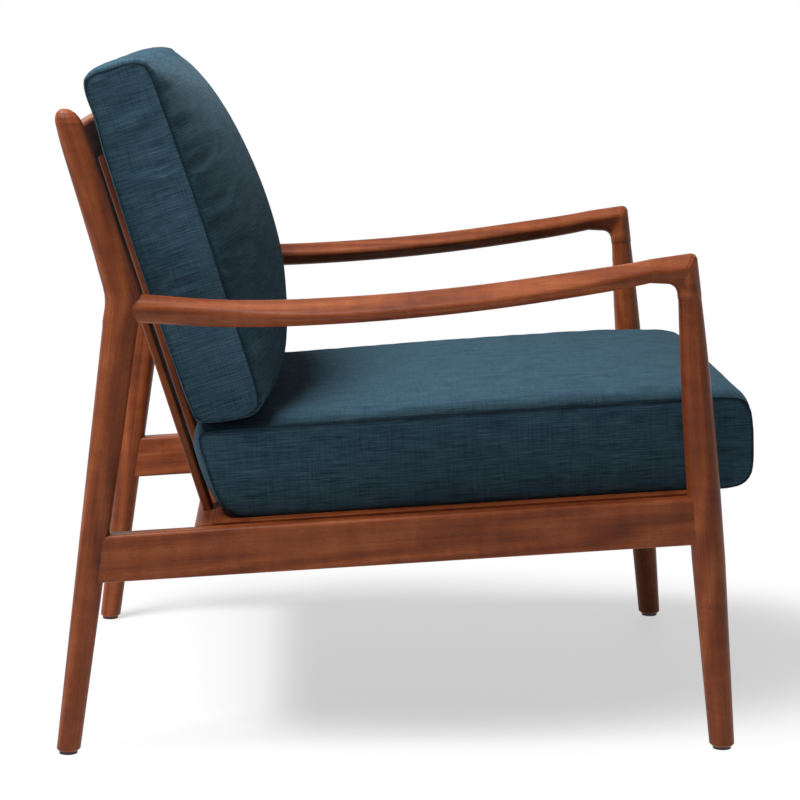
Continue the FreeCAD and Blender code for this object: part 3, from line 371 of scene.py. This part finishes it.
def cushion_form(outline, corners, half_width, roll, roll_width, longest, upright=False):
    """A closed crowned cushion as a wrap panel and two side panels, in mm until it is returned in metres.

    Each outline point holds length, height, crown and how suddenly the crown rises. The corners part the
    outline into top, front, bottom and rear, each with its own height of roll along the seam. longest
    holds the length and height that the rows are counted from. Returns vertices, faces, thread places
    and distances from the seam, which are negative on the side panels."""
    row_step, side_bulge, draw_in = 6.5, 3.5, 4.0
    dense, marks = through(outline, corners)
    marks.append(marks[0] + len(dense))
    loop = np.concatenate([dense, dense])
    sides = [loop[a : b + 1] for a, b in zip(marks, marks[1:])]
    long_shares, up_shares = (spaced(length, row_step) for length in longest)
    edges = [shares_along(side, up_shares if number % 2 else long_shares) for number, side in enumerate(sides)]
    top, front, bottom, rear = rows = [edge[0] for edge in edges]
    lengths = [edge[1] for edge in edges]
    profile = np.concatenate([edge[:-1] for edge in rows])
    run, before = [], 0
    for edge, length in zip(rows, lengths):
        steps = np.linalg.norm(np.diff(edge[:, :2], axis=0), axis=1)
        run.append(np.concatenate([[0.0], np.cumsum(steps)])[:-1] + before)
        before = before + length
    run = np.concatenate(run)
    count = len(profile)
    tangent = np.roll(profile, -1, axis=0)[:, :2] - np.roll(profile, 1, axis=0)[:, :2]
    tangent /= np.linalg.norm(tangent, axis=1)[:, None]
    normal = np.stack([-tangent[:, 1], tangent[:, 0]], axis=1)
    across = spaced(2 * half_width, row_step) * 2 - 1
    rolled = np.concatenate([np.full(len(edge) - 1, float(rise)) for edge, rise in zip(rows, roll)])
    rolled = sum(np.roll(rolled, shift) for shift in range(-4, 5)) / 9
    rolled = np.minimum(rolled, 0.85 * profile[:, 2])
    vertices, distance = [], []
    for share in across:
        full = 1 - np.abs(share) ** profile[:, 3]
        arc = math.sqrt(1 - (1 - min((1 - abs(share)) * half_width / roll_width, 1)) ** 2)
        rise = (profile[:, 2] - rolled) * full + rolled * arc
        spot = profile[:, :2] + normal * rise[:, None]
        vertices.append(np.column_stack([np.full(count, share * half_width), spot]))
        distance.append(np.full(count, (1 - abs(share)) * half_width))
    vertices, distance = np.concatenate(vertices), np.concatenate(distance)
    faces, places = [], []
    for row, (left, right) in enumerate(zip(across, across[1:])):
        x0, x1 = left * half_width, right * half_width
        for index in range(count):
            a, b = row * count + index, row * count + (index + 1) % count
            faces.append((a, a + count, b + count, b))
            end = run[index + 1] if index + 1 < count else sum(lengths)
            quad = ((x0, run[index]), (x1, run[index]), (x1, end), (x0, end))
            places.append(quad if upright else tuple(corner[::-1] for corner in quad))
    seam_line = shares_along(np.concatenate([dense, dense[:1]]), np.linspace(0, 1, 1500))[0][:, :2]
    n_long, n_up = len(top) - 1, len(front) - 1
    for side, first in ((-1, 0), (1, (len(across) - 1) * count)):
        grid, inside, start = {}, [], len(vertices)
        for i in range(n_long + 1):
            for j in range(n_up + 1):
                if j == n_up:
                    grid[i, j] = first + i
                elif i == n_long:
                    grid[i, j] = first + n_long + (n_up - j)
                elif j == 0:
                    grid[i, j] = first + n_long + n_up + (n_long - i)
                elif i == 0:
                    grid[i, j] = first + (2 * n_long + n_up + j) % count
                else:
                    s, t = long_shares[i], up_shares[j]
                    low_point, high_point = bottom[n_long - i, :2], top[i, :2]
                    rear_point, front_point = rear[j, :2], front[n_up - j, :2]
                    mixed = (1 - t) * low_point + t * high_point + (1 - s) * rear_point + s * front_point
                    panel_corners = (edge[0, :2] for edge in (rear, bottom, top, front))
                    low_rear, low_front, high_rear, high_front = panel_corners
                    low_pull = (1 - s) * (1 - t) * low_rear + s * (1 - t) * low_front
                    mixed -= low_pull + (1 - s) * t * high_rear + s * t * high_front
                    grid[i, j] = start + len(inside)
                    inside.append((side * half_width, *mixed))
        inside = np.array(inside)
        gap = np.min(np.linalg.norm(inside[:, None, 1:] - seam_line[None, :, :], axis=2), axis=1)
        inside[:, 0] += side * side_bulge * (1 - np.exp(-gap / 12.0))
        distance = np.concatenate([distance, -gap])
        vertices = np.concatenate([vertices, inside])
        for i in range(n_long):
            for j in range(n_up):
                quad = [grid[i, j], grid[i + 1, j], grid[i + 1, j + 1], grid[i, j + 1]]
                quad = quad if side < 0 else quad[::-1]
                faces.append(tuple(quad))
                places.append(tuple(tuple(vertices[v][1:][:: -1 if upright else 1]) for v in quad))
    length_share = (vertices[:, 1] - dense[:, 0].min()) / np.ptp(dense[:, 0])
    height_share = (vertices[:, 2] - dense[:, 1].min()) / np.ptp(dense[:, 1])
    pulled = draw_in * np.clip(1 - (2 * length_share - 1) ** 4, 0, 1)
    pulled = pulled * np.clip(1 - (2 * height_share - 1) ** 4, 0.35, 1)
    vertices[:, 0] -= np.sign(vertices[:, 0]) * pulled * (np.abs(vertices[:, 0]) / half_width) ** 6
    places = np.array([corner for quad in places for corner in quad])
    return vertices / 1000, faces, places / 1000, distance / 1000


def make_piece(name, vertices, faces, material):
    mesh = bpy.data.meshes.new(name)
    mesh.from_pydata([tuple(vertex) for vertex in vertices], [], faces)
    mesh.materials.append(material)
    mesh.shade_smooth()
    piece = bpy.data.objects.new(name, mesh)
    bpy.context.collection.objects.link(piece)
    return piece


def neighbour_mean(mesh, values, rounds):
    """Rows of values, evened out over the mesh again and again."""
    links = np.zeros(len(mesh.edges) * 2, int)
    mesh.edges.foreach_get("vertices", links)
    links = links.reshape(-1, 2)
    here, there = np.concatenate([links, links[:, ::-1]]).T
    count = np.bincount(here, minlength=len(values))[:, None]
    for _ in range(rounds):
        totals = [np.bincount(here, column[there], len(values)) for column in values.T]
        values = 0.5 * values + 0.5 * np.stack(totals, axis=1) / count
    return values


def filled(piece, seam_distance, growth, furthest, keep_fine):
    """Blows the cover up over its filling as real cloth, held at the seams, and keeps part of the small
    puckers that this gives. The broad swelling is in the crowns already."""
    mesh = piece.data
    start = np.zeros(len(mesh.vertices) * 3)
    mesh.vertices.foreach_get("co", start)
    start = start.reshape(-1, 3)
    held = piece.vertex_groups.new(name="sewn")
    held.add([int(i) for i in np.flatnonzero(np.abs(seam_distance) < 1e-5)], 1.0, "REPLACE")
    cloth = piece.modifiers.new("filling", "CLOTH")
    settings = cloth.settings
    settings.quality = 4
    settings.mass = 0.25
    settings.tension_stiffness = settings.compression_stiffness = 12
    settings.shear_stiffness = 4
    settings.bending_stiffness = 0.35
    settings.use_pressure = True
    settings.uniform_pressure_force = 4
    settings.shrink_min = -growth
    settings.vertex_group_mass = held.name
    settings.effector_weights.gravity = 0
    for step in range(1, 21):
        bpy.context.scene.frame_set(step)
    blown = piece.evaluated_get(bpy.context.evaluated_depsgraph_get())
    end = np.zeros(start.size)
    blown.data.vertices.foreach_get("co", end)
    moved = end.reshape(-1, 3) - start
    piece.modifiers.remove(cloth)
    piece.vertex_groups.remove(held)
    bpy.context.scene.frame_set(1)
    deepest_pucker, seam_reach = 0.004, 0.016
    moved *= np.minimum(1.0, furthest / np.maximum(np.linalg.norm(moved, axis=1)[:, None], 1e-9))
    fine = moved - neighbour_mean(mesh, moved, 60)
    fine *= np.minimum(1.0, deepest_pucker / np.maximum(np.linalg.norm(fine, axis=1)[:, None], 1e-9))
    fade = 1 - np.exp(-(np.abs(seam_distance)[:, None] / seam_reach) ** 2)
    return start + keep_fine * fine * fade


def stitched(piece, points, seam_distance, places, depth, painted_band_shade=0.0):
    """Puts the cover in place, draws the seam in as a narrow groove between two low ridges, paints shade into
    the groove and a soft band of painted shade beside it on the wrap panel, and stores each panel's thread
    places."""
    mesh = piece.data
    mesh.vertices.foreach_set("co", points.ravel())
    mesh.update()
    normals = np.zeros(len(points) * 3)
    mesh.vertices.foreach_get("normal", normals)
    gap = np.abs(seam_distance)
    groove = -depth * np.exp(-((gap / 0.0012) ** 2)) + 0.18 * depth * np.exp(-(((gap - 0.0045) / 0.0025) ** 2))
    points = points + normals.reshape(-1, 3) * groove[:, None]
    mesh.vertices.foreach_set("co", points.ravel())
    # Painted shade: a dark line along the seam groove and, on the wrap panel, a softer dark band beside the
    # seam.
    shade = 0.9 * np.exp(-((gap / 0.0016) ** 2)) + painted_band_shade * (seam_distance > 0) * np.exp(-gap / 0.016)
    mesh.attributes.new("painted_seam_and_band_shade", "FLOAT", "POINT").data.foreach_set("value", shade)
    threads = np.column_stack([places, np.zeros(len(places))])
    mesh.attributes.new("panel_place", "FLOAT_VECTOR", "CORNER").data.foreach_set("vector", threads.ravel())
    mesh.update()
    finer = piece.modifiers.new("finer", "SUBSURF")
    finer.levels = finer.render_levels = 1


seat_rise = math.radians(3.45)
seat_start = np.array([0.0, 0.0092, 0.277])
seat_forward = np.array([0.0, -math.cos(seat_rise), math.sin(seat_rise)])
seat_up = np.array([0.0, math.sin(seat_rise), math.cos(seat_rise)])
to_the_left = np.array([1.0, 0.0, 0.0])


def placed(points, start, second, third):
    """From across and two more distances to places in the chair, in metres."""
    return start + points[:, :1] * to_the_left + points[:, 1:2] * second + points[:, 2:3] * third


# forward, height, crown, how suddenly it rises, in mm; from the rear top corner over the top and round
seat_outline = [
    (-219, 99.5, 9, 5), (-205, 102.2, 12, 4.5), (-150, 102.8, 14, 3.8), (-90, 103, 15, 3.4),
    (0, 103.4, 16.5, 3.2), (90, 103.9, 18, 3), (200, 104.4, 18.5, 3), (300, 104.7, 17, 3.4),
    (360, 104.4, 13.5, 5), (392, 103.6, 9.5, 5), (405, 100.5, 7.5, 5.5), (411.4, 92, 6.5, 6),
    (414.2, 72, 5, 6), (414.2, 50, 4, 6), (413, 28, 3.5, 6), (410, 15, 2.2, 6), (401.5, 5.5, 0.8, 6),
    (385, 1.2, 0, 6), (250, 0.8, 0, 6), (100, 0.8, 0, 6), (-60, 0.8, 0, 6), (-170, 1.2, 0, 8),
    (-186, 4.5, 3, 9), (-196, 12, 9, 10), (-203, 25, 12, 12), (-210, 45, 13, 14), (-216, 70, 14, 14),
    (-220, 88, 13, 13),
]
half_width = 290.0
seat_corners = [0, 10, 16, 22]
seat_roll = (15, 3.5, 0, 0)
seat_form = cushion_form(seat_outline, seat_corners, half_width, seat_roll, 52.0, (630.0, 96.0))
vertices, faces, places, seam_gap = seat_form
seat_cushion = make_piece("seat_cushion", vertices, faces, petrol)
points = filled(seat_cushion, seam_gap, growth=0.012, furthest=0.026, keep_fine=0.25)
deck_clear = 0.0007
points[:, 2] = np.maximum(points[:, 2], deck_clear)
zip_low, zip_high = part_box("seat_cushion_zip")
zip_ahead = seat_start[1] - (zip_low.y + zip_high.y) / 2
recess_half_width, recess_half_length, recess_depth = 0.0125, 0.236, 0.0014
beside_zip = (np.abs(points[:, 1] - zip_ahead) < recess_half_width) & (np.abs(points[:, 0]) < recess_half_length)
underneath = points[:, 2] < 0.004
points[:, 2] += recess_depth * (beside_zip & underneath)
back_sits_at, back_starts, blend_length, blend_rise = 0.1156, -0.075, 0.03, 0.02
under_back = np.clip((back_starts - points[:, 1]) / blend_length, 0, 1)
pressed_down = np.minimum(points[:, 2], back_sits_at + (1 - under_back) * blend_rise)
points[:, 2] = np.where(under_back > 0, pressed_down, points[:, 2])
points = placed(points, seat_start, seat_forward, seat_up)
# The seat's cover gets a soft band of painted shade beside its seams on the wrap panel.
stitched(seat_cushion, points, seam_gap, places, depth=0.0022, painted_band_shade=0.3)
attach(seat_cushion, "seat_cushion")
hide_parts("seat_cushion_cover", "seat_cushion_wrap", "seat_cushion_core")


def ring_quads(rows, count, closed=False):
    """Faces between rings of count points each, and back to the first ring where it is closed."""
    quads = []
    for row in range(rows if closed else rows - 1):
        here, there = row * count, (row + 1) % rows * count
        quads += [(here + i, here + (i + 1) % count, there + (i + 1) % count, there + i) for i in range(count)]
    return quads


def swept(centres, sideways, upward, ring):
    """Vertices and faces of a ring of (side, up) points carried along rows of centres, with closed ends."""
    rows, count = len(centres), len(ring)
    sideways, upward = (np.broadcast_to(axis, centres.shape) for axis in (sideways, upward))
    points = [centres[r] + side * sideways[r] + up * upward[r] for r in range(rows) for side, up in ring]
    ends = [tuple(range(count))[::-1], tuple(range((rows - 1) * count, rows * count))]
    return points, ring_quads(rows, count) + ends


tape_section = (
    (0.4, -0.2), (0.8, -0.3), (9.6, -0.3), (9.9, -0.15), (9.9, 0.15), (9.6, 0.3), (0.8, 0.3), (0.4, 0.2),
)
coil_pitch, coil_half_width, coil_half_height, coil_wire = 0.0022, 0.0021, 0.00028, 0.0003
slider_edge = [(-0.0052, 0.0032), (-0.0045, 0.0038), (0.0028, 0.0044), (0.0046, 0.003), (0.0052, 0.0012)]
slider_from_end, slider_bottom, slider_top = 0.018, -0.0006, 0.0009
pull_from_slider, pull_bottom, pull_top = 0.0095, -0.00058, -0.0001


def zip_fastener(body):
    """A coil zip laid where its CAD strip is: two cloth tapes, a flattened nylon coil and a steel slider."""
    node = body + "_zip"
    forward, up = seat_forward, seat_up
    low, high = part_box(node)
    middle = np.array((low + high) / 2)
    length = high.x - low.x
    centres = middle + np.linspace(-length / 2, length / 2, 93)[:, None] * to_the_left
    vertices, faces = [], []
    for side in (-1, 1):
        ring = [(side * a / 1000, b / 1000) for a, b in tape_section][::side]
        more, quads = swept(centres, forward, up, ring)
        faces += [tuple(v + len(vertices) for v in quad) for quad in quads]
        vertices += more
    tape = make_piece(node + "_tape", vertices, faces, petrol)
    corners = np.array([vertices[v] for quad in faces for v in quad]) - middle
    flat = np.column_stack([corners @ forward, corners @ to_the_left, np.zeros(len(corners))])
    tape.data.attributes.new("panel_place", "FLOAT_VECTOR", "CORNER").data.foreach_set("vector", flat.ravel())
    turn = np.arange(0, 2 * math.pi * (length - 0.004) / coil_pitch, 2 * math.pi / 10)
    run = turn * coil_pitch / (2 * math.pi) - length / 2 + 0.002
    to_side, to_top = coil_half_width * np.sin(turn)[:, None], coil_half_height * np.cos(turn)[:, None]
    line = middle + run[:, None] * to_the_left + to_side * forward + to_top * up
    sideways = np.cross(up, np.gradient(line, axis=0))
    sideways /= np.linalg.norm(sideways, axis=1)[:, None]
    wire = [(coil_wire * math.cos(angle), coil_wire * math.sin(angle)) for angle in np.arange(6) * math.pi / 3]
    coil = make_piece(node + "_coil", *swept(line, sideways, up, wire), nylon)
    slider_at = middle + (length / 2 - slider_from_end) * to_the_left
    spots = slider_edge + [(a, -b) for a, b in slider_edge[::-1]]
    centres = np.array([slider_at + rise * up for rise in (slider_bottom, slider_top)])
    slider = make_piece(node + "_slider", *swept(centres, to_the_left, forward, spots), steel)
    turns = np.arange(24) * math.pi / 12
    outer = [(0.0085 * math.copysign(abs(math.cos(a)) ** 0.5, math.cos(a)), 0.0024 * math.sin(a)) for a in turns]
    inner = [(0.0065 * math.cos(a), 0.001 * math.sin(a)) for a in turns]
    pull_at = slider_at - pull_from_slider * to_the_left
    loops = ((outer, pull_bottom), (outer, pull_top), (inner, pull_top), (inner, pull_bottom))
    tab = [pull_at + a * to_the_left + b * forward + rise * up for loop, rise in loops for a, b in loop]
    pull = make_piece(node + "_pull", tab, ring_quads(4, 24, closed=True), steel)
    for piece in (slider, pull):
        piece.data.shade_flat()
        rounded = piece.modifiers.new("rounded", "BEVEL")
        rounded.width, rounded.segments = 0.00015, 2
    for piece in (tape, coil, slider, pull):
        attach(piece, body)
    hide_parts(node)


zip_fastener("seat_cushion")

# Back cushion: made like the seat cushion, but plumper, so that the front panel swells far out between
# its two side panels. It stands on the seat cushion and leans on the slats and the crest rail.
back_lean = math.radians(17.57)
back_start = np.array([0.0, 0.22495, 0.26406])
back_along = np.array([0.0, math.sin(back_lean), math.cos(back_lean)])
back_forward = np.array([0.0, -math.cos(back_lean), math.sin(back_lean)])

# distance up the slats, distance in front of them, crown, how suddenly it rises, in mm; from the low front
# corner up the front panel and round
back_outline = [
    (106, 89, 9, 3), (113, 95.5, 20, 2.8), (126, 98.5, 28, 2.6), (148, 99.8, 36, 2.5),
    (180, 100, 47.5, 2.3), (230, 100, 60, 2.2), (293, 100.5, 64.5, 2.2), (364, 100.5, 61, 2.2),
    (433, 98.7, 50.5, 2.3), (470, 97.6, 38.5, 2.4), (500, 96.3, 22.5, 2.6), (517, 93, 9.5, 3),
    (524, 84.5, 5, 4), (527, 74, 4, 6), (527, 54, 5, 8), (526.5, 34, 6, 8), (521, 22.5, 6, 4),
    (509, 18.5, 7, 2.6), (480, 19.2, 9.5, 2.1), (442, 17, 8.6, 2), (407, 16.4, 9.8, 2),
    (360, 15.6, 11.5, 2), (271, 15.5, 13.3, 2), (190, 17.2, 13.5, 2), (128, 19.8, 8, 2.2),
    (117, 22.5, 2, 3), (111, 29, 0, 6), (106, 46, 0, 6), (103.5, 66, 0.5, 6), (103.5, 80, 3, 4),
]
back_corners = [0, 11, 16, 25]
back_roll = (4, 3, 0, 2)
back_form = cushion_form(back_outline, back_corners, half_width, back_roll, 12.0, (410.0, 84.0), upright=True)
vertices, faces, places, seam_gap = back_form
back_cushion = make_piece("back_cushion", vertices, faces, petrol)
points = filled(back_cushion, seam_gap, growth=0.015, furthest=0.028, keep_fine=0.5)
pucker_waves = ((410, 0.4), (263, 2.1), (597, 4.0), (151, 1.2))
pucker_height, pucker_reach, pucker_start = 0.0008, 0.035, 0.006
puckers = sum(np.sin(points[:, 1] * turns + start) for turns, start in pucker_waves)
on_front = points[:, 2] > 0.09
near_seam = np.exp(-seam_gap / pucker_reach) * np.clip(seam_gap / pucker_start, 0, 1) * on_front
points[:, 2] += pucker_height * puckers * near_seam
crest_from, crest_blend = 0.405, 0.02
slat_clear, crest_proud = 0.0012, 0.0058
at_crest = np.clip((points[:, 1] - crest_from) / crest_blend, 0, 1)
points[:, 2] = np.maximum(points[:, 2], slat_clear + crest_proud * at_crest)
points = placed(points, back_start, back_along, back_forward)
stitched(back_cushion, points, seam_gap, places, depth=0.0026)
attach(back_cushion, "back_cushion")
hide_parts("back_cushion_cover", "back_cushion_wrap", "back_cushion_core")
zip_fastener("back_cushion")

# Floor and light: a plain pale floor that turns white away from the chair, under a large soft lamp, seen
# from the chair's right side.
white = (1.0, 1.0, 1.0, 1.0)


def seen_by(tree):
    """1 where the camera, a reflection or a clear piece sees the surface, 0 where it only gives light."""
    rays = add(tree, "ShaderNodeLightPath").outputs
    mirrored = calc(tree, "MAXIMUM", rays["Is Glossy Ray"], rays["Is Transmission Ray"])
    return calc(tree, "MAXIMUM", rays["Is Camera Ray"], mirrored)


pale_floor, tree, shader = new_finish("pale_floor")
shader.inputs["Base Color"].default_value = (0.89, 0.89, 0.9, 1.0)
shader.inputs["Roughness"].default_value = 0.55
shadow_middle, shadow_shape = (0.14, -0.06, 0.0), (1.5, 1.0, 1.0)
shadow_reach, white_from = 0.36, 0.88
moved = add(tree, "ShaderNodeVectorMath", {0: place_on(tree), 1: shadow_middle}, operation="SUBTRACT").outputs[0]
shaped = add(tree, "ShaderNodeVectorMath", {0: moved, 1: shadow_shape}, operation="MULTIPLY").outputs[0]
distance = add(tree, "ShaderNodeVectorMath", {0: shaped}, operation="LENGTH").outputs["Value"]
away = blend_between(tree, shadow_reach, white_from, distance)
lifted = blend_between(tree, 0.0, 1.0, away, 0.56, 1.0)
mixed = add(tree, "ShaderNodeMixShader", {0: calc(tree, "MULTIPLY", lifted, seen_by(tree))})
glow = add(tree, "ShaderNodeEmission", {"Color": white, "Strength": 1.0})
tree.links.new(shader.outputs[0], mixed.inputs[1])
tree.links.new(glow.outputs[0], mixed.inputs[2])
tree.links.new(mixed.outputs[0], tree.nodes["Material Output"].inputs["Surface"])
floor = make_piece("floor", [(-9, -9, 0), (9, -9, 0), (9, 9, 0), (-9, 9, 0)], [(0, 1, 2, 3)], pale_floor)

world = bpy.data.worlds.new("studio")
bpy.context.scene.world = world
world.use_nodes = True
tree = world.node_tree
sky = tree.nodes["Background"]
sky.inputs["Color"].default_value = white
sky_light = 0.055
tree.links.new(blend_between(tree, 0.0, 1.0, seen_by(tree), sky_light, 1.0), sky.inputs["Strength"])


def soft_lamp(name, place, target, size, power):
    light = bpy.data.lights.new(name, "AREA")
    light.shape = "RECTANGLE"
    light.size, light.size_y = size
    light.energy = power
    lamp = bpy.data.objects.new(name, light)
    lamp.location = place
    lamp.rotation_euler = (Vector(target) - Vector(place)).to_track_quat("-Z", "Y").to_euler()
    lamp.visible_camera = False
    bpy.context.collection.objects.link(lamp)


soft_lamp("overhead", (-0.6, 1.1, 2.6), (0.0, 0.0, 0.4), size=(0.9, 0.9), power=98.0)
soft_lamp("near_side", (-2.7, 1.75, 1.2), (0.0, 0.0, 0.45), size=(0.3, 2.2), power=0.9)
soft_lamp("near_top", (-1.2, 1.1, 1.8), (0.0, 0.15, 0.55), size=(0.9, 0.4), power=1.0)

camera = bpy.data.objects.new("camera", bpy.data.cameras.new("camera"))
camera.data.lens = 117.0
camera.data.sensor_width = 36.0
camera.data.clip_end = 60.0
yaw, pitch, roll = (math.radians(angle) for angle in (-2.06, 9.02, -0.17))
ahead = Vector((math.cos(pitch) * math.cos(yaw), math.cos(pitch) * math.sin(yaw), -math.sin(pitch)))
level = Vector((math.sin(yaw), -math.cos(yaw), 0.0))
down = ahead.cross(level)
right = level * math.cos(roll) + down * math.sin(roll)
down = down * math.cos(roll) - level * math.sin(roll)
turn = Matrix((right, -down, -ahead)).transposed().to_4x4()
camera.matrix_world = Matrix.Translation((-3.232, 0.1122, 0.872)) @ turn
bpy.context.collection.objects.link(camera)
bpy.context.scene.camera = camera
bpy.context.scene.view_settings.view_transform = "Standard"
